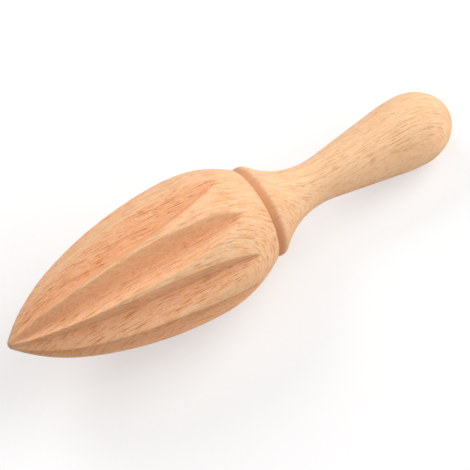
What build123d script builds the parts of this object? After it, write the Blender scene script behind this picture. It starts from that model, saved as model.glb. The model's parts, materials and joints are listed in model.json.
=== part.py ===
from build123d import *
import math
import os

# Wooden citrus reamer, in millimetres.
# A turned beech head with nine V flutes is glued onto the tenon of a turned beech handle. The two
# meet at the bottom of the V groove behind the head. The tool lies on its side as it does on a
# table, handle end lower, on two of the lands between its flutes and on the bulb of its handle.
# Stations run along the tool's axis from the tip. Radii are measured from that axis.
# Row frame: +X from the tip to the handle, +Z up, origin under the middle of the tool.

# Head
nose_radius = 2.0
tip_to_belly = 66.2
belly_radius = 22.9
belly_arc_radius = 125.0
belly_arc_run = 45.2
belly_to_rim = 22.6
rim_radius = 16.1
rim_break = 0.3

# V groove between the head and the collar
groove_front_width = 0.5
groove_depth = 1.2
collar_front_width = 3.6

# Handle, whose collar starts at the bottom of the groove and rises a little
collar_rise = 0.7
collar_round = 2.5
collar_to_neck = 19.8
neck_radius = 7.15
neck_to_bulb = 37.8
bulb_radius = 11.95
bulb_side_radius = 53.0
bulb_to_end = 14.5

# Flutes, cut with a V tool whose bottom edge follows an arc and then a straight rise
flute_count = 9
flute_included_angle = 94.0
flute_rise_angle = 9.0
flute_bend_radius = 135.0
tip_to_flute_bend = 40.0
belly_to_flute_end = 13.7

# Glued joint
tenon_radius = 6.0
tenon_length = 24.0
tenon_chamfer = 1.0
glue_groove_radius = 0.5
glue_groove_spacing = 6.0
glue_groove_count = 3
bore_clearance = 0.1
bore_end_gap = 1.5
bore_mouth_chamfer = 0.6
drill_point_angle = 118.0

# Overrun of cutting bodies past the wood
cut_overrun = 1.0


def crest_arc_radius(run, drop):
    """Radius of an arc that leaves its crest level and has fallen by drop after run."""
    return (run**2 + drop**2) / (2 * drop)


# Stations
rim_station = tip_to_belly + belly_to_rim
seam_station = rim_station + groove_front_width
collar_station = seam_station + collar_front_width
neck_station = collar_station + collar_to_neck
bulb_station = neck_station + neck_to_bulb
end_station = bulb_station + bulb_to_end
flute_end_station = tip_to_belly + belly_to_flute_end

# Radii at the groove
groove_root_radius = rim_radius - groove_depth
collar_radius = groove_root_radius + collar_rise

# Head outline: round nose, front arc, long belly arc and shoulder arc, each tangent to the next
nose_centre = Vector(nose_radius, 0)
belly_arc_centre = Vector(tip_to_belly, belly_radius - belly_arc_radius)
front_join_normal = Vector(-belly_arc_run, math.sqrt(belly_arc_radius**2 - belly_arc_run**2)).normalized()
front_join = belly_arc_centre + front_join_normal * belly_arc_radius
nose_to_join = front_join - nose_centre
front_arc_radius = (nose_to_join.dot(nose_to_join) - nose_radius**2) / (
    2 * (nose_to_join.dot(front_join_normal) - nose_radius)
)
front_arc_centre = front_join - front_join_normal * front_arc_radius
nose_tangent = nose_centre + (nose_centre - front_arc_centre).normalized() * nose_radius
shoulder_radius = crest_arc_radius(belly_to_rim, belly_radius - rim_radius)
shoulder_centre = Vector(tip_to_belly, belly_radius - shoulder_radius)

# Handle outline: a cove, a straight taper and the bulb's side, each tangent to the next
cove_radius = crest_arc_radius(collar_to_neck, collar_radius - neck_radius)
cove_centre = Vector(neck_station, neck_radius + cove_radius)
bulb_side_centre = Vector(bulb_station, bulb_radius - bulb_side_radius)
centre_line = bulb_side_centre - cove_centre
taper_angle = math.atan2(centre_line.Y, centre_line.X) + math.asin(
    (cove_radius + bulb_side_radius) / centre_line.length
)
taper_direction = Vector(math.cos(taper_angle), math.sin(taper_angle))
taper_normal = Vector(-math.sin(taper_angle), math.cos(taper_angle))
taper_start = cove_centre - taper_normal * cove_radius
taper_end = bulb_side_centre + taper_normal * bulb_side_radius


def shoulder_height(station):
    """Radius of the head's shoulder arc at a station between the belly and the rim."""
    return shoulder_centre.Y + math.sqrt(shoulder_radius**2 - (station - shoulder_centre.X) ** 2)


# Flute bottom: it rises out of the shoulder at the flute's end
flute_half_angle = math.radians(flute_included_angle / 2)
flute_slope = math.radians(flute_rise_angle)
rise_direction = Vector(math.cos(flute_slope), math.sin(flute_slope))
flute_end = Vector(flute_end_station, shoulder_height(flute_end_station))
flute_bend = flute_end - rise_direction * ((flute_end_station - tip_to_flute_bend) / rise_direction.X)
flute_arc_centre = flute_bend + Vector(rise_direction.Y, -rise_direction.X) * flute_bend_radius
flute_entry_run = flute_arc_centre.X + cut_overrun
flute_entry = Vector(-cut_overrun, flute_arc_centre.Y + math.sqrt(flute_bend_radius**2 - flute_entry_run**2))
flute_exit_run = (rim_station + cut_overrun - flute_end_station) / rise_direction.X
flute_exit = flute_end + rise_direction * flute_exit_run
cutter_top = belly_radius + cut_overrun
flute_pitch = 2 * math.pi / flute_count


def land_height(station):
    """Height below the axis at which the two lowest lands would touch a level table."""
    surface = shoulder_height(station)
    bottom = flute_end.Y - math.tan(flute_slope) * (flute_end_station - station)
    edge_angle = flute_half_angle - math.asin(bottom / surface * math.sin(flute_half_angle))
    return surface * math.cos(edge_angle)


def head_drop(tilt):
    """How far the lowest land lies below the tip when the handle end is tilted down."""
    scan_steps = 400
    stations = [tip_to_belly + belly_to_flute_end * i / scan_steps for i in range(scan_steps + 1)]
    return max(s * math.sin(tilt) + land_height(s) * math.cos(tilt) for s in stations)


def bulb_drop(tilt):
    """How far the bulb lies below the tip when the handle end is tilted down."""
    reach = math.hypot(bulb_to_end * math.sin(tilt), bulb_radius * math.cos(tilt))
    return bulb_station * math.sin(tilt) + reach


# Rest pose: the tilt at which the lands and the bulb touch the table together
level_tilt = 0.0
steep_tilt = math.pi / 6
for _ in range(60):
    rest_tilt = (level_tilt + steep_tilt) / 2
    if head_drop(rest_tilt) > bulb_drop(rest_tilt):
        level_tilt = rest_tilt
    else:
        steep_tilt = rest_tilt

# The tip's place in the row frame, with the box's bottom centre at the origin
back_reach = nose_radius * (1 - math.cos(rest_tilt))
end_reach = math.hypot(bulb_to_end * math.cos(rest_tilt), bulb_radius * math.sin(rest_tilt))
front_reach = bulb_station * math.cos(rest_tilt) + end_reach
tip = Vector((back_reach - front_reach) / 2, 0, bulb_drop(rest_tilt))
axis_direction = Vector(math.cos(rest_tilt), 0, -math.sin(rest_tilt))
up_direction = Vector(math.sin(rest_tilt), 0, math.cos(rest_tilt))
side_direction = axis_direction.cross(up_direction)
tool_axis = Axis(tip, axis_direction)


def meridian_plane(angle):
    """Plane through the axis whose y runs out from the axis, turned by angle from straight up."""
    outward = up_direction * math.cos(angle) + side_direction * math.sin(angle)
    return Plane(origin=tip, x_dir=axis_direction, z_dir=axis_direction.cross(outward))


profile_plane = meridian_plane(0)

os.makedirs("parts", exist_ok=True)

# Head: turned outline, blind bore for the tenon, then the flutes
with BuildPart() as reamer_head:
    with BuildSketch(profile_plane) as head_profile:
        with BuildLine():
            nose_arc = TangentArc((0, 0), nose_tangent, tangent=(0, 1))
            front_arc = TangentArc(nose_arc @ 1, front_join, tangent=nose_arc % 1)
            belly_arc = TangentArc(front_arc @ 1, (tip_to_belly, belly_radius), tangent=front_arc % 1)
            shoulder_arc = TangentArc(belly_arc @ 1, (rim_station, rim_radius), tangent=(1, 0))
            Polyline(
                shoulder_arc @ 1,
                (seam_station, groove_root_radius),
                (seam_station, 0),
                (0, 0),
            )
        make_face()
        rim_corner = head_profile.vertices().sort_by_distance((rim_station, rim_radius))[0]
        fillet(rim_corner, rim_break)
    revolve(axis=tool_axis)

    bore_radius = tenon_radius + bore_clearance
    bore_floor = seam_station - tenon_length - bore_end_gap
    drill_point_length = bore_radius / math.tan(math.radians(drill_point_angle / 2))
    with BuildSketch(profile_plane):
        with BuildLine():
            Polyline(
                (seam_station + cut_overrun, 0),
                (seam_station + cut_overrun, bore_radius + bore_mouth_chamfer + cut_overrun),
                (seam_station - bore_mouth_chamfer, bore_radius),
                (bore_floor, bore_radius),
                (bore_floor - drill_point_length, 0),
                close=True,
            )
        make_face()
    revolve(axis=tool_axis, mode=Mode.SUBTRACT)

    for flute_number in range(flute_count):
        flute_plane = meridian_plane(math.pi + flute_number * flute_pitch)
        with BuildSketch(flute_plane) as flute_section:
            with BuildLine():
                bend_arc = TangentArc(flute_bend, flute_entry, tangent=-rise_direction)
                Polyline(
                    bend_arc @ 1,
                    (-cut_overrun, cutter_top),
                    (flute_exit.X, cutter_top),
                    flute_exit,
                    bend_arc @ 0,
                )
            make_face()
        for side in (-1, 1):
            outward_part = flute_plane.y_dir * math.cos(flute_half_angle)
            sideways_part = flute_plane.z_dir * math.sin(flute_half_angle) * side
            extrude(
                flute_section.sketch,
                amount=belly_radius,
                dir=outward_part + sideways_part,
                mode=Mode.SUBTRACT,
            )
reamer_head.part.label = "reamer_head"
export_step(reamer_head.part, "parts/reamer_head.step")

# Handle: tenon, collar, cove, taper and bulb turned as one outline, then the glue grooves
tenon_end = seam_station - tenon_length
with BuildPart() as handle:
    with BuildSketch(profile_plane) as handle_profile:
        with BuildLine():
            Polyline(
                (tenon_end, 0),
                (tenon_end, tenon_radius - tenon_chamfer),
                (tenon_end + tenon_chamfer, tenon_radius),
                (seam_station, tenon_radius),
                (seam_station, groove_root_radius),
            )
            TangentArc((collar_station, collar_radius), (seam_station, groove_root_radius), tangent=(-1, 0))
            TangentArc(taper_start, (collar_station, collar_radius), tangent=-taper_direction)
            Line(taper_start, taper_end)
            TangentArc(taper_end, (bulb_station, bulb_radius), tangent=taper_direction)
            EllipticalCenterArc((bulb_station, 0), bulb_to_end, bulb_radius, start_angle=0, arc_size=90)
            Line((end_station, 0), (tenon_end, 0))
        make_face()
        collar_corner = handle_profile.vertices().sort_by_distance((collar_station, collar_radius))[0]
        fillet(collar_corner, collar_round)
    revolve(axis=tool_axis)

    first_groove_offset = (tenon_length - glue_groove_spacing * (glue_groove_count - 1)) / 2
    groove_stations = [
        tenon_end + first_groove_offset + glue_groove_spacing * i for i in range(glue_groove_count)
    ]
    with BuildSketch(profile_plane):
        with Locations(*[(station, tenon_radius) for station in groove_stations]):
            Circle(glue_groove_radius)
    revolve(axis=tool_axis, mode=Mode.SUBTRACT)
handle.part.label = "handle"
export_step(handle.part, "parts/handle.step")

print("overall length", round(end_station, 2), "belly diameter", round(2 * belly_radius, 2))
print("rest tilt in degrees", round(math.degrees(rest_tilt), 3), "tip at", tip)
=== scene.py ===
# %% [markdown]
# # Dressing a turned wooden citrus reamer
# The tool is two pieces of steamed beech: a head with nine V flutes, and a handle whose tenon is
# glued into the head. Both were turned on a lathe, so both meshes start as an outline that is
# spun round the tool's axis. The flutes are then carved into the spun head, as they are cut into
# the real one.
#
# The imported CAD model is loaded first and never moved. The two meshes made here stand for its
# two nodes, in the same place and at the same size.

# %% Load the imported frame
import json
import math

import bpy
import numpy as np
from mathutils import Matrix, Vector


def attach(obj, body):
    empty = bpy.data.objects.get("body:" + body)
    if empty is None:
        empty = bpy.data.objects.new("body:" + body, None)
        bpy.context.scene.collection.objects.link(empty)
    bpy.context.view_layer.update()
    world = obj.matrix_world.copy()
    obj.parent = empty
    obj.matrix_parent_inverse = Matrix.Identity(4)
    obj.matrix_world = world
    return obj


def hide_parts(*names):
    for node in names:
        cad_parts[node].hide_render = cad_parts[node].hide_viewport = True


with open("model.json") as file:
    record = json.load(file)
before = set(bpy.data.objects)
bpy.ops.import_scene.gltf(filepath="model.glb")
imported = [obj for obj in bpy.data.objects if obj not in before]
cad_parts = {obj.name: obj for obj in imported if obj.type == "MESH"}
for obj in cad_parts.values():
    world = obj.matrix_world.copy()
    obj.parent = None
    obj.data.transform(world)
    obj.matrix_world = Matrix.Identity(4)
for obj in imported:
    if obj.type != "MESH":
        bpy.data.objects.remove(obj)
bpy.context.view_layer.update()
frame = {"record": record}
MM = 0.001

# %% [markdown]
# ## The tool's own frame
# The tool lies on its side, tipped a little towards its handle, so its axis is not one of
# Blender's axes. It is far easier to turn a piece round X and put it in place at the end. The
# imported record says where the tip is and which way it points, and that gives the matrix from
# tool space (X along the tool from its tip, Z up) to the place where the tool lies.

# %% Matrix from tool space to the frame
mounts = {mount["name"]: mount for mount in frame["record"]["mounts"]}
tip = Vector(mounts["reaming_head"]["pos_m"])
axis_direction = -Vector(mounts["reaming_head"]["axis"]).normalized()
left_direction = Vector((0, 1, 0))
up_direction = axis_direction.cross(left_direction)
tool_turn = Matrix((axis_direction, left_direction, up_direction)).transposed()
tool_to_frame = Matrix.Translation(tip) @ tool_turn.to_4x4()
tilt = math.degrees(math.asin(-axis_direction.z))
print("tip in mm:", [round(value / MM, 2) for value in tip], "tilt in degrees:", round(tilt, 2))

# %% [markdown]
# ## Outlines made of arcs
# A turner works to a template with a few arcs that run smoothly into each other. The same arcs
# give the points of both outlines here: a point is (distance from the tip, distance from the
# axis). Two helpers are enough. One walks along an arc in even steps. The other eases a corner
# between two stretches, as sandpaper does.

# %% Helpers for an outline
def arc(centre, start, end, step):
    """Points on the short arc from start to end about centre, without its start."""
    centre, start, end = Vector(centre), Vector(start), Vector(end)
    first = start - centre
    turn = first.angle_signed(end - centre)
    count = max(2, round(abs(turn) * first.length / step))
    spokes = [Matrix.Rotation(-turn * index / count, 2) @ first for index in range(1, count + 1)]
    return [tuple(centre + spoke) for spoke in spokes]


def eased_corner(before, corner, after, count):
    """Points of a soft corner that leaves before and reaches after, pulled towards corner."""
    before, corner, after = Vector(before), Vector(corner), Vector(after)
    shares = [index / count for index in range(1, count + 1)]
    return [tuple(before * (1 - s) ** 2 + corner * 2 * s * (1 - s) + after * s**2) for s in shares]


def straight(start, end, step):
    """Points along a line in even steps, without its start."""
    start, end = Vector(start), Vector(end)
    count = max(1, round((end - start).length / step))
    return [tuple(start.lerp(end, index / count)) for index in range(1, count + 1)]


def crest_radius(run, drop):
    """Radius of an arc that leaves its crest level and has fallen by drop after run."""
    return (run**2 + drop**2) / (2 * drop)


# %% [markdown]
# ## Sizes of the head
# These are the real sizes, in metres. The belly is the widest place. Behind it the shoulder
# rounds down to the rim, and a narrow V groove parts the head from the collar. The bore that
# takes the tenon belongs to the piece although nobody sees it.

# %% Sizes of the head
nose_radius = 2.0 * MM
tip_to_belly = 66.2 * MM
belly_radius = 22.9 * MM
belly_arc_radius = 125.0 * MM
belly_arc_run = 45.2 * MM
belly_to_rim = 22.6 * MM
rim_radius = 16.1 * MM
rim_break = 0.35 * MM
groove_front_width = 0.5 * MM
groove_depth = 1.2 * MM
tenon_radius = 6.0 * MM
tenon_length = 24.0 * MM
bore_clearance = 0.1 * MM
bore_end_gap = 1.5 * MM
bore_mouth_chamfer = 0.6 * MM
drill_point_angle = math.radians(118)

rim_station = tip_to_belly + belly_to_rim
seam_station = rim_station + groove_front_width
groove_root_radius = rim_radius - groove_depth
shoulder_radius = crest_radius(belly_to_rim, belly_radius - rim_radius)
shoulder_centre = Vector((tip_to_belly, belly_radius - shoulder_radius))
belly_centre = Vector((tip_to_belly, belly_radius - belly_arc_radius))
join_normal = Vector((-belly_arc_run, math.sqrt(belly_arc_radius**2 - belly_arc_run**2))).normalized()
front_join = belly_centre + join_normal * belly_arc_radius
nose_centre = Vector((nose_radius, 0))
nose_to_join = front_join - nose_centre
join_height = nose_to_join.dot(join_normal)
front_radius = (nose_to_join.length_squared - nose_radius**2) / (2 * (join_height - nose_radius))
front_centre = front_join - join_normal * front_radius
nose_end = nose_centre + (nose_centre - front_centre).normalized() * nose_radius
print("front arc radius in mm:", round(front_radius / MM, 2))

# %% [markdown]
# ## The head's outline
# The rows of the finished mesh lie where the outline has its points, so the step between points
# is chosen by what happens there: short at the nose and the rim, longer along the belly.

# %% Outline of the head
ring_step = 0.55 * MM
nose_step = 0.18 * MM
rim_steps = 5
inner_step = 4.0 * MM

shoulder_sine = (rim_station - rim_break - tip_to_belly) / shoulder_radius
shoulder_end = shoulder_centre + shoulder_radius * Vector((shoulder_sine, math.sqrt(1 - shoulder_sine**2)))
rim_corner = Vector((rim_station, rim_radius))
groove_root = Vector((seam_station, groove_root_radius))
groove_start = rim_corner + (groove_root - rim_corner).normalized() * rim_break
bore_radius = tenon_radius + bore_clearance
bore_floor = seam_station - tenon_length - bore_end_gap
bore_tip = bore_floor - bore_radius / math.tan(drill_point_angle / 2)

head_outline = [(0.0, 0.0)]
head_outline += arc(nose_centre, (0, 0), nose_end, nose_step)
head_outline += arc(front_centre, nose_end, front_join, ring_step)
head_outline += arc(belly_centre, front_join, (tip_to_belly, belly_radius), ring_step)
head_outline += arc(shoulder_centre, (tip_to_belly, belly_radius), shoulder_end, ring_step)
head_outline += eased_corner(shoulder_end, rim_corner, groove_start, rim_steps)
head_outline += straight(groove_start, groove_root, ring_step)
bore_start = (seam_station - bore_mouth_chamfer, bore_radius)
head_outline += [(seam_station, bore_radius + bore_mouth_chamfer), bore_start]
head_outline += straight(bore_start, (bore_floor, bore_radius), inner_step)
head_outline += [(bore_tip, 0.0)]
print("points in the head's outline:", len(head_outline))

# %% [markdown]
# ## Drawing and spinning an outline
# By hand, a lathe shape starts as a single vertex that is extruded from point to point, and is
# then spun a full turn round the axis. A plane merged to its centre gives that first vertex. The
# spin leaves many vertices on one spot where the outline meets the axis, so doubles are merged,
# and after that the faces are made to point outwards.

# %% Turn an outline into a closed mesh
merge_distance = 0.001 * MM


def deselect_all():
    """Nothing stays selected, so that the next operator acts on the new piece alone."""
    bpy.ops.object.select_all(action="DESELECT")


def turned(name, outline, columns):
    """A closed mesh in tool space: the outline spun round the X axis in so many columns."""
    deselect_all()
    bpy.ops.mesh.primitive_plane_add(size=MM, location=(0, 0, 0))
    piece = bpy.context.object
    piece.name = piece.data.name = name
    bpy.ops.object.mode_set(mode="EDIT")
    bpy.ops.mesh.select_all(action="SELECT")
    bpy.ops.mesh.merge(type="CENTER")
    bpy.ops.transform.translate(value=(outline[0][0], 0, outline[0][1]))
    for (station, radius), (next_station, next_radius) in zip(outline, outline[1:]):
        step = (next_station - station, 0, next_radius - radius)
        bpy.ops.mesh.extrude_region_move(TRANSFORM_OT_translate={"value": step})
    bpy.ops.mesh.select_all(action="SELECT")
    bpy.ops.mesh.spin(steps=columns, angle=2 * math.pi, center=(0, 0, 0), axis=(1, 0, 0))
    bpy.ops.mesh.select_all(action="SELECT")
    bpy.ops.mesh.remove_doubles(threshold=merge_distance)
    bpy.ops.mesh.normals_make_consistent(inside=False)
    bpy.ops.object.mode_set(mode="OBJECT")
    print(name, "has", len(piece.data.vertices), "vertices and", len(piece.data.polygons), "faces")
    return piece


# %% [markdown]
# ## The blank of the head
# The real blank is a plain turned lemon shape. Each flute will need columns of vertices along its
# bottom, up its two walls and over its edges, so every ninth part of the turn gets the same even
# number of columns.

# %% Spin the blank
flute_count = 9
half_columns = 16
columns_per_flute = 2 * half_columns
head = turned("reamer_head_wood", head_outline, flute_count * columns_per_flute)

# %% [markdown]
# ## Where the flutes run
# A V tool cuts each flute. Its bottom edge follows a long arc near the tip and then a straight
# rise, and it leaves the wood on the shoulder. No two flutes are quite alike on a hand-fed
# machine, so each has its own turn, depth and wander, and some bow a little on their way. The
# flutes on the underside stay true, because the tool rests on the lands between them.

# %% Sizes of the flutes
flute_half_angle = math.radians(94 / 2)
flute_slope = math.radians(9.0)
flute_bend_radius = 135.0 * MM
tip_to_flute_bend = 40.0 * MM
flute_end_station = tip_to_belly + 13.7 * MM
flute_end_height = shoulder_centre.y + math.sqrt(shoulder_radius**2 - (flute_end_station - tip_to_belly) ** 2)
bend_height = flute_end_height - math.tan(flute_slope) * (flute_end_station - tip_to_flute_bend)
bend_centre = Vector((tip_to_flute_bend + flute_bend_radius * math.sin(flute_slope),
                      bend_height - flute_bend_radius * math.cos(flute_slope)))
flute_pitch = 2 * math.pi / flute_count

# One entry a flute, starting with the lowest one: its turn in degrees at the tip, half way and at
# its rear end, how far its first wall leans back in degrees, and how much deeper it is cut.
flute_front_turns = np.radians([0.0, 0.0, 0.9, -4.0, 1.0, 3.8, 2.5, 4.0, 0.0])
flute_middle_turns = np.radians([0.0, 0.0, 0.2, -4.0, 6.3, 1.3, 0.0, -6.5, 0.0])
flute_rear_turns = np.radians([0.0, 0.0, -0.5, -2.0, -1.2, -0.9, -0.8, -8.0, 0.0])
first_wall_leans = np.radians([0.0, 0.0, 0.0, 0.0, 0.0, 0.0, 6.5, 0.0, 0.0])
wall_angles = flute_half_angle + np.array([first_wall_leans, np.zeros(flute_count)])
flute_depths = np.array([0.0, 0.0, 0.1, -0.15, 0.05, 0.0, 0.1, -0.1, 0.0]) * MM
wander_sizes = np.array([0.0, 0.0, 0.12, 0.14, 0.10, 0.12, 0.10, 0.12, 0.0]) * MM
wander_length = 43.0 * MM
wander_shift = 2.3


def flute_bottom(stations):
    """Distance of a flute's bottom edge from the axis."""
    run = np.minimum(stations, tip_to_flute_bend) - bend_centre.x
    bend = bend_centre.y + np.sqrt(flute_bend_radius**2 - run**2)
    rise = bend_height + math.tan(flute_slope) * (stations - tip_to_flute_bend)
    return np.where(stations < tip_to_flute_bend, bend, rise)


print("flute bottom in mm at 10, 40, 70 mm:", np.round(flute_bottom(np.array([10, 40, 70]) * MM) / MM, 2))

# %% [markdown]
# ## Carving the flutes
# A boolean cut would leave knife-sharp corners and thin slivers that no bevel can round. So the
# blank is carved as a sculptor would: every vertex of the skin is pushed down to the wall of the
# nearest flute. That takes numpy rather than the sculpt brushes, because each wall is an exact
# plane.
#
# First come the two formulas of the cut. The walls meet in a V with a slightly blunt bottom, and
# a soft minimum of the turned skin and the walls rounds the edges as sandpaper does.

# %% The cut, as formulas
edge_softness = 0.26 * MM
bottom_softness = 0.06 * MM
shallowest_opening = 0.02
far_away = 1.0


def flute_centres(stations):
    """Angle of each flute's bottom edge at each station, one row a flute."""
    flutes = np.arange(flute_count)[:, None]
    along = stations[None, :] / flute_end_station
    turns = flute_front_turns[:, None] * (1 - along) * (1 - 2 * along)
    turns = turns + flute_middle_turns[:, None] * 4 * along * (1 - along)
    turns = turns + flute_rear_turns[:, None] * along * (2 * along - 1)
    waves = np.sin(2 * math.pi * stations[None, :] / wander_length + wander_shift * flutes)
    wander = wander_sizes[:, None] / belly_radius * waves
    return math.pi + flutes * flute_pitch + turns + wander


def wall_height(away, bottom, angles):
    """Radius of a flute's wall at an angle away from its centre, for the angles of its two walls."""
    slope = np.tan(np.where(np.sin(away) < 0, angles[0], angles[1]))
    sideways = np.hypot(np.sin(away), bottom_softness / np.maximum(bottom, MM))
    opening = np.cos(away) * slope - sideways
    height = bottom * slope / np.maximum(opening, shallowest_opening)
    return np.where(opening > shallowest_opening, height, far_away)


def soft_minimum(first, second, softness):
    """The smaller of two heights, with a fillet where they meet."""
    closeness = np.clip(1 - np.abs(first - second) / softness, 0, 1)
    return np.minimum(first, second) - closeness**2 * softness / 4


print("wall height in mm beside a 15 mm bottom, every 5 degrees:",
      np.round(wall_height(np.radians(np.arange(0, 25, 5)), 15 * MM, wall_angles[:, 0]) / MM, 2))

# %% [markdown]
# ## Moving the columns to the edges
# An edge only looks crisp if a column of vertices runs along it. The spun columns are evenly
# spaced, so they are shifted sideways first: in each flute ten of them share a wall, and six share
# half of the land beside it. Both groups are drawn together towards the bottom and the edge. In
# front of the flutes and behind them the columns spread out again.

# %% Shift the columns
wall_share = 0.625
even_share = 0.4
narrowest_half = math.radians(1.5)
narrowest_land = math.radians(0.4)
spread_half = math.radians(9)
rear_spread_run = 6.0 * MM
front_spread_run = 3.0 * MM


def gathered(shares):
    """Even shares drawn together towards both ends."""
    shares = np.clip(shares, 0, 1)
    return even_share * shares + (1 - even_share) * shares**2 * (3 - 2 * shares)


def edge_angles(stations, skin, bottoms):
    """Angle between each flute's centre and its two edges, one row a flute."""
    reach = np.clip(bottoms / np.maximum(skin, merge_distance), 0, 1)
    walls = wall_angles[:, :, None]
    halves = walls - np.arcsin(reach * np.sin(walls))
    behind = np.clip((stations - flute_end_station) / rear_spread_run, 0, 1)
    before = np.clip(1 - stations / front_spread_run, 0, 1)
    return np.maximum(halves, np.maximum(narrowest_half, spread_half * np.maximum(behind, before)))


def shifted_angles(angles, centres, halves):
    """New angle of each vertex, with columns on the bottoms and the edges of the flutes."""
    turn_in_flutes = (angles - math.pi) / flute_pitch
    nearest = np.round(turn_in_flutes).astype(int)
    second = (turn_in_flutes >= nearest).astype(int)
    side = 2 * second - 1
    share = np.abs(turn_in_flutes - nearest) * 2
    every = np.arange(len(angles))
    own = nearest % flute_count
    other = (nearest + side) % flute_count
    gap = (centres[other, every] - centres[own, every]) * side % (2 * math.pi)
    own_half = halves[second, own, every]
    land_middle = (gap + own_half - halves[1 - second, other, every]) / 2
    half = np.minimum(own_half, land_middle - narrowest_land)
    on_wall = gathered(share / wall_share) * half
    on_land = gathered((share - wall_share) / (1 - wall_share)) * (land_middle - half)
    return centres[own, every] + side * (on_wall + on_land)


# %% [markdown]
# ## The carved head
# The rear face and the bore are part of the same mesh, so only vertices that lie on the outer
# outline take part. The depth of the cut is kept in an attribute of the mesh. Cut wood and sanded
# wood differ in colour, and the finish will need it.

# %% Carve the head
cut_depth_full = 0.55 * MM
outer_outline = np.array(head_outline[: head_outline.index(tuple(groove_root)) + 1])


def carve(piece):
    """Cuts the flutes into the turned blank and stores how deep each vertex was cut."""
    vertices = piece.data.vertices
    places = np.empty(len(vertices) * 3)
    vertices.foreach_get("co", places)
    stations, left, up = places.reshape(-1, 3).T.copy()
    radii = np.hypot(left, up)
    skin = np.interp(stations, outer_outline[:, 0], outer_outline[:, 1])
    outer = np.abs(radii - skin) < merge_distance

    centres = flute_centres(stations)
    bottoms = flute_bottom(stations) - flute_depths[:, None]
    angles = shifted_angles(np.arctan2(-left, up), centres, edge_angles(stations, skin, bottoms))
    walls = wall_height(angles - centres, bottoms, wall_angles[:, :, None]).min(axis=0)
    carved = soft_minimum(skin, walls, np.clip(skin, merge_distance, edge_softness))
    radii = np.where(outer, carved, radii)
    depths = np.where(outer, skin - carved, 0)

    places = np.column_stack((stations, -radii * np.sin(angles), radii * np.cos(angles)))
    vertices.foreach_set("co", places.ravel())
    cut = piece.data.attributes.new("cut_depth", "FLOAT", "POINT")
    cut.data.foreach_set("value", np.clip(depths / cut_depth_full, 0, 1))
    piece.data.update()
    print("deepest cut in mm:", round(float(depths.max()) / MM, 2))


carve(head)

# %% [markdown]
# ## The handle
# The handle is one turning from the end of its tenon to the end of its bulb. The tenon never
# shows, but it is what holds the real tool together, so it is here with its chamfer and its three
# glue grooves. Behind the V groove come the collar, which swells to its sanded edge, a deep cove,
# a straight taper and the long side of the bulb. The bulb ends in half an ellipse.

# %% Sizes of the handle
collar_front_width = 3.6 * MM
collar_rise = 0.7 * MM
collar_round = 2.5 * MM
collar_to_neck = 19.8 * MM
neck_radius = 7.15 * MM
neck_to_bulb = 37.8 * MM
bulb_radius = 11.95 * MM
bulb_side_radius = 53.0 * MM
bulb_to_end = 14.5 * MM
tenon_chamfer = 1.0 * MM
glue_groove_radius = 0.5 * MM
glue_groove_spacing = 6.0 * MM
glue_groove_count = 3

collar_station = seam_station + collar_front_width
collar_radius = groove_root_radius + collar_rise
neck_station = collar_station + collar_to_neck
bulb_station = neck_station + neck_to_bulb
end_station = bulb_station + bulb_to_end
tenon_end = seam_station - tenon_length
cove_radius = crest_radius(collar_to_neck, collar_radius - neck_radius)
cove_centre = Vector((neck_station, neck_radius + cove_radius))
bulb_side_centre = Vector((bulb_station, bulb_radius - bulb_side_radius))
centre_line = bulb_side_centre - cove_centre
taper_angle = math.atan2(centre_line.y, centre_line.x)
taper_angle += math.asin((cove_radius + bulb_side_radius) / centre_line.length)
taper_normal = Vector((-math.sin(taper_angle), math.cos(taper_angle)))
taper_start = cove_centre - taper_normal * cove_radius
taper_end = bulb_side_centre + taper_normal * bulb_side_radius
print("overall length in mm:", round(end_station / MM, 1))
print("taper in degrees:", round(math.degrees(taper_angle), 1))

# %% [markdown]
# The collar's edge is a corner between the swell, which is level there, and the cove. It is eased
# over the length that a fillet of the collar's roundness would take, so it leaves both smoothly.

# %% Outline of the handle
handle_step = 0.7 * MM
swell_step = 0.4 * MM
corner_steps = 7
groove_steps = 4
end_steps = 26

collar_corner = Vector((collar_station, collar_radius))
swell_radius = crest_radius(collar_front_width, collar_rise)
swell_centre = collar_corner - Vector((0, swell_radius))
cove_spoke = (collar_corner - cove_centre).normalized()
cove_direction = Vector((-cove_spoke.y, cove_spoke.x))
corner_run = collar_round * math.tan(Vector((1, 0)).angle(cove_direction) / 2)
corner_start = swell_centre + Vector((-corner_run, swell_radius)).normalized() * swell_radius
corner_reach = collar_corner + cove_direction * corner_run - cove_centre
corner_end = cove_centre + corner_reach.normalized() * cove_radius

handle_outline = [
    (tenon_end, 0.0),
    (tenon_end, tenon_radius - tenon_chamfer),
    (tenon_end + tenon_chamfer, tenon_radius),
]
first_glue_groove = tenon_end + (tenon_length - glue_groove_spacing * (glue_groove_count - 1)) / 2
for groove in range(glue_groove_count):
    groove_station = first_glue_groove + groove * glue_groove_spacing
    for step in range(groove_steps + 1):
        groove_angle = math.pi * step / groove_steps
        handle_outline.append((groove_station - glue_groove_radius * math.cos(groove_angle),
                               tenon_radius - glue_groove_radius * math.sin(groove_angle)))
handle_outline += [(seam_station, tenon_radius), tuple(groove_root)]
handle_outline += arc(swell_centre, groove_root, corner_start, swell_step)
handle_outline += eased_corner(corner_start, collar_corner, corner_end, corner_steps)
handle_outline += arc(cove_centre, corner_end, taper_start, handle_step)
handle_outline += straight(taper_start, taper_end, handle_step)
handle_outline += arc(bulb_side_centre, taper_end, (bulb_station, bulb_radius), handle_step)
end_angles = [math.pi / 2 * step / end_steps for step in range(1, end_steps)]
handle_outline += [(bulb_station + bulb_to_end * math.sin(a), bulb_radius * math.cos(a)) for a in end_angles]
handle_outline += [(end_station, 0.0)]

handle_columns = 192
handle = turned("handle_wood", handle_outline, handle_columns)

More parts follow.
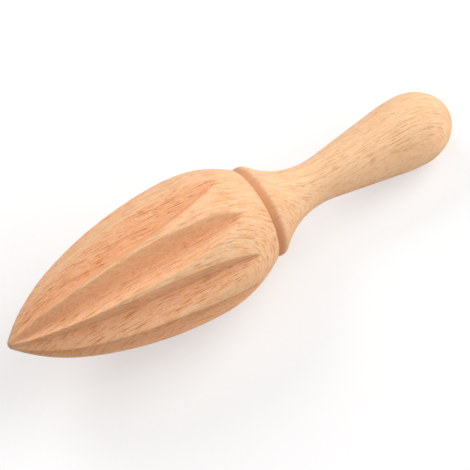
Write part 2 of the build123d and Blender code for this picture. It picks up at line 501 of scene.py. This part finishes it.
# %% [markdown]
# ## Into place
# Both pieces get the matrix from tool space to the frame, and applying it puts the place into the
# mesh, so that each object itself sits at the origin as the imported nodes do. Smooth shading by
# angle keeps the rim and the bottoms of the flutes crisp.

# %% Place and shade both pieces
crisp_angle = math.radians(38)


def put_in_place(piece, node):
    """Moves a finished piece from tool space to the frame and lets it stand for its node."""
    deselect_all()
    piece.matrix_world = tool_to_frame
    piece.select_set(True)
    bpy.context.view_layer.objects.active = piece
    bpy.ops.object.transform_apply(location=True, rotation=True, scale=True)
    bpy.ops.object.shade_smooth_by_angle(angle=crisp_angle)
    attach(piece, "root")
    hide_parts(node)
    print(piece.name, "stands for", node)


put_in_place(head, "reamer_head")
put_in_place(handle, "handle")

# %% [markdown]
# ## Writing a finish as formulas
# A material is a set of nodes, and a long one is hard to read as a picture. Two small classes let
# it be written down instead. A `Signal` is the output of a node, and sums on signals add Math
# nodes. A `Finish` is one material, and its `node` method adds any other node: its settings
# first, then the numbers or signals on its sockets.

# %% Signals and finishes
class Signal:
    """The output of a node, which can stand in a formula."""

    def __init__(self, finish, socket):
        self.finish = finish
        self.socket = socket

    def math(self, operation, *values):
        """A Math node on these values, in their order."""
        return self.finish.node("ShaderNodeMath", {"operation": operation}, dict(enumerate(values)))

    def __add__(self, other):
        return self.math("ADD", self, other)

    def __sub__(self, other):
        return self.math("SUBTRACT", self, other)

    def __rsub__(self, other):
        return self.math("SUBTRACT", other, self)

    def __mul__(self, other):
        return self.math("MULTIPLY", self, other)

    def __truediv__(self, other):
        return self.math("DIVIDE", self, other)

    __radd__ = __add__
    __rmul__ = __mul__

    def sibling(self, name):
        """Another output of the same node."""
        return Signal(self.finish, self.socket.node.outputs[name])


class Finish:
    """A material that is put together node by node."""

    def __init__(self, name):
        self.material = bpy.data.materials.new(name)
        self.material.use_nodes = True
        self.tree = self.material.node_tree
        self.tree.nodes.clear()

    def node(self, kind, settings, sockets, output=0):
        """Adds a node and gives one of its outputs."""
        added = self.tree.nodes.new(kind)
        for name, value in settings.items():
            setattr(added, name, value)
        for name, value in sockets.items():
            if isinstance(value, Signal):
                self.tree.links.new(value.socket, added.inputs[name])
            else:
                added.inputs[name].default_value = value
        return Signal(self, added.outputs[output])

    def scaled(self, vector, factors):
        """A vector stretched along each axis by its own factor."""
        return self.node("ShaderNodeVectorMath", {"operation": "MULTIPLY"}, {0: vector, 1: factors})

    def dot(self, first, second):
        """How far the first vector reaches along the second."""
        sockets = {0: first, 1: second}
        return self.node("ShaderNodeVectorMath", {"operation": "DOT_PRODUCT"}, sockets, "Value")

    def noise(self, vector, detail=2.0, roughness=0.5):
        """Soft noise from 0 to 1 with about one bump a unit."""
        sockets = {"Vector": vector, "Scale": 1.0, "Detail": detail, "Roughness": roughness}
        return self.node("ShaderNodeTexNoise", {}, sockets, "Fac")

    def rise(self, value, low, high):
        """0 below low, 1 above high, and a smooth step between them."""
        sockets = {"Value": value, "From Min": low, "From Max": high}
        return self.node("ShaderNodeMapRange", {"interpolation_type": "SMOOTHSTEP"}, sockets)

    def blend(self, share, first, second):
        """The first colour where share is 0 and the second where it is 1."""
        return self.node("ShaderNodeMix", {"data_type": "RGBA"}, {0: share, 6: first, 7: second}, 2)

    def ended(self, surface):
        """The material, once its surface is joined to its output."""
        ending = self.tree.nodes.new("ShaderNodeOutputMaterial")
        self.tree.links.new(surface.socket, ending.inputs["Surface"])
        return self.material


# %% [markdown]
# ## The grain's own directions
# The pattern of wood is a solid pattern: it runs through the block, and turning and carving only
# uncover it. So the beech is described in the block's own directions, in millimetres: X along the
# fibres, Y along the growth rings and Z outwards from the heart of the tree. The growth rings lie
# at the same angle on the head, the collar and the end of the handle, so both pieces share them.
# They are turned round the tool's axis, and they dip a little along it.

# %% From the frame to the grain
ring_turn = math.radians(70)
ring_dip = math.radians(-5)
grain_tilt = math.radians(-6.5)
across_tool = up_direction * math.cos(ring_turn) - left_direction * math.sin(ring_turn)
outward = across_tool * math.cos(ring_dip) + axis_direction * math.sin(ring_dip)
along_tool = axis_direction * math.cos(ring_dip) - across_tool * math.sin(ring_dip)
fibre_direction = along_tool * math.cos(grain_tilt) + outward.cross(along_tool) * math.sin(grain_tilt)
ring_direction = outward.cross(fibre_direction)
grain_matrix = Matrix((fibre_direction, ring_direction, outward))
grain_rotation = grain_matrix.to_euler("XYZ")
grain_shift = -(grain_matrix @ tip) / MM
print("grain turn in degrees:", [round(math.degrees(angle), 1) for angle in grain_rotation])

# %% [markdown]
# ## Steamed beech
# Beech is a plain pink-brown wood, and a few things make it beech. Dark dashes lie along the
# grain, some long and some short. Between them are fine fibres, hairlines and pores, and wider
# orange streaks. Its growth rings are thin and faint. And the wood drifts slowly between straw
# and salmon.
#
# Every mark in the wood is long along the grain, wide along the growth rings and thin outwards
# from the heart of the tree. So the marks follow the rings, and they bend round the shoulder.
# Their sizes below are in millimetres, in that order.
#
# A dash starts as a cell pattern that is stretched in this way. Near the middle of a cell the
# distance to it is small, and in stretched cells that makes a long thin lens. Each cell also has
# a random colour, which decides whether it holds a dash at all, and how dark it is.

# %% Sizes of the marks, and dashes
grain_bend_size = (28.0, 9.0, 9.0)
ring_wave_size = (45.0, 9.0, 9.0)
drift_size = (26.0, 4.0, 4.0)
streak_size = (10.0, 3.0, 0.60)
fibre_size = (3.0, 1.0, 0.28)
hairline_size = (8.0, 6.0, 0.50)
pore_size = (0.9, 0.35, 0.30)
long_dash_size = (13.0, 7.0, 0.35)
short_dash_size = (4.2, 4.6, 0.34)
long_dash_share = 0.80
short_dash_share = 0.50
faint_share = 0.4
dash_reach = 0.42
dash_core_share = 0.3


def stretched(wood, grain, size):
    """Grain coordinates in which a mark of this size measures one unit each way."""
    return wood.scaled(grain, tuple(1 / side for side in size))


def dashes(wood, grain, size, share):
    """Thin lenses in a share of the stretched cells. Their reach is measured in cells."""
    cells = {"Vector": stretched(wood, grain, size), "Scale": 1.0}
    distance = wood.node("ShaderNodeTexVoronoi", {}, cells, "Distance")
    chance = wood.node("ShaderNodeSeparateColor", {}, {"Color": distance.sibling("Color")}, "Red")
    present = wood.rise(chance, 1 - share, 1 - share * faint_share)
    return (1 - wood.rise(distance, dash_reach * dash_core_share, dash_reach)) * present


# %% [markdown]
# Growth rings are shells round the heart of the tree, so a ring number is no more than the
# distance from the heart divided by the width of a ring. Some slow noise keeps them from being
# perfect circles. The fraction of the number runs from spring to autumn, and only late autumn
# wood is darker.

# %% Growth rings
heart_distance = 80.0
ring_spacing = 0.85
ring_wave = 2.4
autumn_start = 0.45
autumn_end = 0.92


def growth_rings(wood, grain):
    """1 in the thin dark part of each growth ring, and 0 in most of it."""
    across = wood.node("ShaderNodeVectorMath", {"operation": "MULTIPLY_ADD"},
                       {0: grain, 1: (0, 1, 1), 2: (0, 0, heart_distance)})
    from_heart = wood.node("ShaderNodeVectorMath", {"operation": "LENGTH"}, {0: across}, "Value")
    wavy = wood.noise(stretched(wood, grain, ring_wave_size), detail=2.0)
    ring_number = from_heart / ring_spacing + ring_wave * wavy
    season = ring_number.math("FRACT", ring_number)
    return wood.rise(season, autumn_start, autumn_end) * (1 - wood.rise(season, autumn_end, 1.0))


# %% [markdown]
# The wood is salmon near the tip and drifts to straw on the handle. The sanded skin is even, while
# the cut walls of the flutes are rougher and fuller of dashes. Which is which comes from the
# `cut_depth` attribute. The swell of the collar gets painted shade in brown, darkest in the groove
# behind the head's rim. Where a surface lies flat along the marks it would show them as blots, so
# they fade there.
#
# A mark is the same wood, only denser, so it isn't painted in a colour of its own. The colour
# under it is multiplied by a tint, which takes more of the blue than of the red. In the names
# below, limits are the two values between which a smooth step rises, and a value that ends in mm
# is a distance from the tip.

# %% Colours and strengths of the beech
straw = (0.94, 0.625, 0.380, 1)
salmon = (0.95, 0.555, 0.330, 1)
skin_salmon = 0.75
head_fade = 0.15
head_fade_mm = (30, 95)
collar_fade = 0.35
collar_fade_mm = (88, 105)
streak_warmth = 0.5
salmon_warmth = 0.7
warmth_limits = (0.80, 1.55)

orange_tint = (1.0, 0.80, 0.60)
orange_limits = (0.42, 0.72)
orange_strength = 0.60
orange_loss_on_handle = 0.25
orange_where_flat = 0.5

shadow_tint = (0.74, 0.57, 0.38)
fine_limits = (0.45, 0.75)
hairline_limits = (0.52, 0.72)
end_grain_limits = (0.45, 1.0)
ring_darkness = 0.10
fibre_darkness = 0.40
hairline_darkness = 0.45
pore_darkness = 0.25
end_grain_darkness = 0.5

fleck_tint = (0.58, 0.29, 0.08)
long_dash_darkness = 0.55
short_dash_darkness = 0.60
cut_darkness = 0.15
flat_limits = (0.72, 0.98)
flat_fade = 0.85
handle_fade = 0.20

# Painted shade in the groove between head and collar: a brown that is darkest by the seam and fades along the
# swell.
groove_shade_brown = (0.64, 0.285, 0.130, 1)
groove_shade_strength = 0.7
seam_mm = seam_station / MM
seam_start_mm = seam_mm - 0.1
groove_shade_start_mm = seam_mm + 1.4
groove_shade_end_mm = collar_station / MM - 0.3

grain_bend = 1.0
bump_height = 0.045 * MM
fibre_relief = 0.4
dash_relief = 0.2
sanded_roughness = 0.55
cut_roughness = 0.12
dash_roughness = 0.10
beech_shine = 0.15

# %% [markdown]
# The finish itself is written from the place to the surface: first where a point lies in the
# block and on the tool, then the marks, then the colour with one tint after another, and last the
# relief. `standing` is 1 where the surface stands across the marks and falls where it lies flat
# along them.

# %% The beech finish

def tinted(wood, colour, share, tint):
    """A colour multiplied by a tint, as far as share says."""
    return wood.blend(share, colour, wood.scaled(colour, tint))


def bent_grain(wood, place):
    """A place in the grain's own directions, in millimetres, with a slow bend across the fibres."""
    straight_grain = wood.node("ShaderNodeMapping", {"vector_type": "POINT"},
                               {"Vector": place, "Location": grain_shift, "Rotation": grain_rotation,
                                "Scale": (1 / MM, 1 / MM, 1 / MM)})
    bend = wood.noise(stretched(wood, straight_grain, grain_bend_size), detail=1.0).sibling("Color")
    return wood.node("ShaderNodeVectorMath", {"operation": "MULTIPLY_ADD"},
                     {0: bend, 1: (0, grain_bend, grain_bend), 2: straight_grain})


def beech():
    """Wood with dashes, fibres, streaks and growth rings, for the sanded and the cut surfaces."""
    wood = Finish("steamed_beech")
    place = wood.node("ShaderNodeTexCoord", {}, {}, "Object")
    facing = place.sibling("Normal")
    grain = bent_grain(wood, place)
    cut = wood.node("ShaderNodeAttribute", {"attribute_name": "cut_depth"}, {}, "Fac")
    station = wood.dot(place, axis_direction) / MM - tip.dot(axis_direction) / MM
    on_handle = wood.rise(station, seam_start_mm, seam_mm)
    # Painted shade: full in the groove behind the head's rim, fading out along the collar's swell.
    groove_shade = on_handle * (1 - wood.rise(station, groove_shade_start_mm, groove_shade_end_mm))
    outwards = wood.dot(facing, outward)
    standing = 1 - flat_fade * wood.rise(outwards * outwards, *flat_limits)
    strength = standing * (1 - handle_fade * on_handle)
    end_on = wood.dot(facing, fibre_direction)
    end_grain = wood.rise(end_on.math("ABSOLUTE", end_on), *end_grain_limits)

    drift = wood.noise(stretched(wood, grain, drift_size), detail=3.0, roughness=0.55)
    streaks = wood.noise(stretched(wood, grain, streak_size), detail=3.0, roughness=0.65)
    fibres = wood.noise(stretched(wood, grain, fibre_size), detail=2.0, roughness=0.6)
    hairlines = wood.noise(stretched(wood, grain, hairline_size), detail=1.0)
    pores = wood.noise(stretched(wood, grain, pore_size), detail=1.0)
    rings = growth_rings(wood, grain)
    long_dashes = dashes(wood, grain, long_dash_size, long_dash_share) * strength
    short_dashes = dashes(wood, grain, short_dash_size, short_dash_share) * strength

    salmon_share = skin_salmon + (1 - skin_salmon) * cut
    salmon_share = salmon_share - head_fade * wood.rise(station, *head_fade_mm)
    salmon_share = salmon_share - collar_fade * wood.rise(station, *collar_fade_mm)
    warmth = drift + streak_warmth * streaks + salmon_warmth * salmon_share
    colour = wood.blend(wood.rise(warmth, *warmth_limits), straw, salmon)
    colour = tinted(wood, colour, ring_darkness * rings * strength, shadow_tint)

    orange_share = wood.rise(streaks, *orange_limits) * standing + orange_where_flat * (1 - standing)
    orange = (orange_strength - orange_loss_on_handle * on_handle) * orange_share
    colour = tinted(wood, colour, orange, orange_tint)
    dark_fibres = fibre_darkness * wood.rise(fibres, *fine_limits)
    dark_hairlines = hairline_darkness * wood.rise(hairlines, *hairline_limits) * strength
    dark_pores = (pore_darkness + cut_darkness * cut) * wood.rise(pores, *fine_limits)
    for share in (dark_fibres, dark_hairlines, dark_pores):
        colour = tinted(wood, colour, share, shadow_tint)
    for dash, darkness in ((long_dashes, long_dash_darkness), (short_dashes, short_dash_darkness)):
        colour = tinted(wood, colour, (darkness + cut_darkness * cut) * dash, fleck_tint)
    colour = tinted(wood, colour, end_grain_darkness * end_grain, shadow_tint)
    # Painted shade in brown over the groove behind the head's rim.
    colour = wood.blend(groove_shade_strength * groove_shade, colour, groove_shade_brown)

    relief = fibres * fibre_relief + streaks * fibre_relief
    relief = relief - long_dashes * dash_relief - short_dashes * dash_relief
    height = {"Height": relief, "Distance": bump_height, "Strength": 1.0}
    bump = wood.node("ShaderNodeBump", {}, height, "Normal")
    roughness = sanded_roughness + cut_roughness * cut + dash_roughness * long_dashes
    surface = wood.node("ShaderNodeBsdfPrincipled", {},
                        {"Base Color": colour, "Roughness": roughness, "Normal": bump,
                         "Specular IOR Level": beech_shine})
    return wood.ended(surface)


beech_material = beech()
for piece in (head, handle):
    piece.data.materials.clear()
    piece.data.materials.append(beech_material)
print("nodes in the beech finish:", len(beech_material.node_tree.nodes))

# %% [markdown]
# ## Floor, backdrop and light
# The tool lies on a white sweep. The floor is a plain matt plane, and the world behind it is
# white for the camera. To everything else the world is a dim even sky, which fills the shadows.
# Four big soft lamps do most of the work, and they follow after the camera.

# %% Floor and world
floor_size = 8.0
sky_strength = 0.28
floor_colour = (0.80, 0.80, 0.80, 1)
shadow_share = 0.5


def matt(name, colour):
    """A plain matt finish that the camera sees as white, with shadows at a share of their depth."""
    plain = Finish(name)
    seen = plain.node("ShaderNodeLightPath", {}, {}, "Is Camera Ray")
    shown = plain.blend(seen, colour, (1, 1, 1, 1))
    lit = plain.node("ShaderNodeBsdfDiffuse", {}, {"Color": shown})
    white = plain.node("ShaderNodeEmission", {}, {"Color": (1, 1, 1, 1), "Strength": 1.0})
    mixed = plain.node("ShaderNodeMixShader", {}, {0: seen * (1 - shadow_share), 1: lit, 2: white})
    return plain.ended(mixed)


deselect_all()
bpy.ops.mesh.primitive_plane_add(size=floor_size, location=(0, 0, 0))
floor = bpy.context.object
floor.name = "floor"
floor.data.materials.append(matt("floor_white", floor_colour))

world = bpy.data.worlds.new("studio")
bpy.context.scene.world = world
world.use_nodes = True
sky = world.node_tree
sky.nodes.clear()
paths = sky.nodes.new("ShaderNodeLightPath")
level = sky.nodes.new("ShaderNodeMix")
level.inputs["A"].default_value = sky_strength
level.inputs["B"].default_value = 1.0
background = sky.nodes.new("ShaderNodeBackground")
ending = sky.nodes.new("ShaderNodeOutputWorld")
sky.links.new(paths.outputs["Is Camera Ray"], level.inputs["Factor"])
sky.links.new(level.outputs["Result"], background.inputs["Strength"])
sky.links.new(background.outputs["Background"], ending.inputs["Surface"])
bpy.context.scene.view_settings.view_transform = "Standard"

# %% [markdown]
# The camera comes before the lamps, because they all shine on the point that it looks at. The
# tool's axis is tilted towards the camera and rises to the right in the picture. The camera is
# far away with a long lens, so the tool hardly tapers with distance.

# %% Camera
picture_width = 470
pixels_per_metre = 3193.3
camera_distance = 0.900
aim_station = 81.33 * MM
aim_below = 2.93 * MM
sight_turn = math.radians(23.8)
sight_lift = math.radians(19.53)
picture_turn = math.radians(28.31)

camera_side = up_direction * math.cos(sight_turn) - left_direction * math.sin(sight_turn)
below = -up_direction * math.sin(sight_turn) - left_direction * math.cos(sight_turn)
towards_camera = camera_side * math.cos(sight_lift) - axis_direction * math.sin(sight_lift)
seen_axis = axis_direction * math.cos(sight_lift) + camera_side * math.sin(sight_lift)
picture_right = seen_axis * math.cos(picture_turn) + below * math.sin(picture_turn)
picture_up = seen_axis * math.sin(picture_turn) - below * math.cos(picture_turn)

camera_data = bpy.data.cameras.new("camera")
camera = bpy.data.objects.new("camera", camera_data)
bpy.context.scene.collection.objects.link(camera)
camera_turn = Matrix((picture_right, picture_up, towards_camera)).transposed()
aim = tip + axis_direction * aim_station + below * aim_below
camera.matrix_world = Matrix.Translation(aim + towards_camera * camera_distance) @ camera_turn.to_4x4()
camera_data.sensor_width = 36.0
camera_data.lens = camera_data.sensor_width * pixels_per_metre * camera_distance / picture_width
bpy.context.scene.camera = camera
print("lens in mm:", round(camera_data.lens, 1), "handedness:", round(camera_turn.determinant(), 3))

# %% [markdown]
# Four square softboxes light the tool, as on a product table. One stands on the upper left of the
# picture and a weak one hangs over the tip. The strongest hangs over the handle's end, and the
# last stands beyond it on the right. So the walls of a flute differ in brightness, and no shadow
# is hard.
#
# A lamp's power follows from its distance: the light that it throws falls off with the square of
# it. `level` is the brightness that the lamp alone gives a matt white card that faces it.

# %% Lamps
lamp_distance = 1.3


def add_lamp(name, turn, lean, width, level):
    """A square lamp that shines on the middle of the tool, turned round its axis and leant along it."""
    across = up_direction * math.cos(turn) - left_direction * math.sin(turn)
    direction = across * math.cos(lean) + axis_direction * math.sin(lean)
    lamp_data = bpy.data.lights.new(name, "AREA")
    lamp_data.size = width
    lamp_data.energy = level * math.pi**2 * lamp_distance**2
    lamp = bpy.data.objects.new(name, lamp_data)
    bpy.context.scene.collection.objects.link(lamp)
    lamp.location = aim + direction * lamp_distance
    lamp.rotation_euler = direction.to_track_quat("Z", "Y").to_euler()
    print(name, "has", round(lamp_data.energy, 1), "watts")


add_lamp("left_softbox", turn=math.radians(-50), lean=math.radians(-10), width=0.6, level=0.40)
add_lamp("front_softbox", turn=0, lean=math.radians(-35), width=0.8, level=0.12)
add_lamp("rear_softbox", turn=0, lean=math.radians(35), width=0.8, level=0.50)
add_lamp("right_softbox", turn=math.radians(40), lean=math.radians(40), width=0.7, level=0.37)
